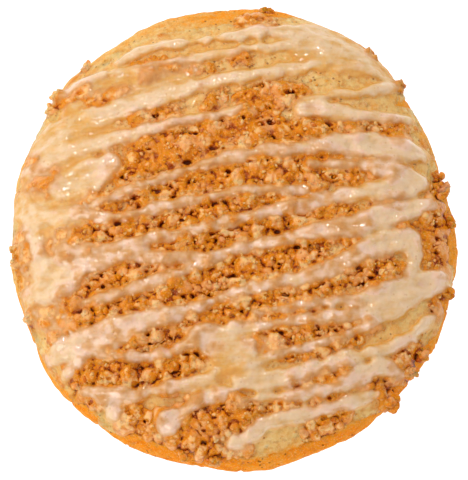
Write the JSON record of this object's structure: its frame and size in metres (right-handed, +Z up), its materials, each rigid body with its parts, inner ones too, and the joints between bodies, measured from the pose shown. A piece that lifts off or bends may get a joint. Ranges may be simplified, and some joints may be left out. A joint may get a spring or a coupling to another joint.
{
  "type": "peach cobbler cookie",
  "caption": "Thick round soft cookie with baked butter crumbs and icing drizzled across its top in a zigzag; peach cobbler style.",
  "frame": {"origin": "middle of the flat underside, on the surface that the cookie lies on", "axes": "+Z up through the thickness, +Y towards the side that is far from the viewer in the picture, +X to the viewer's right"},
  "size_m": [0.1121, 0.1184, 0.0252],
  "materials": {
    "baked_dough": "satin",
    "butter_crumb": "satin",
    "icing": "gloss"
  },
  "bodies": {
    "root": {"cobbler_cookie": "baked_dough"}
  },
  "joints": []
}
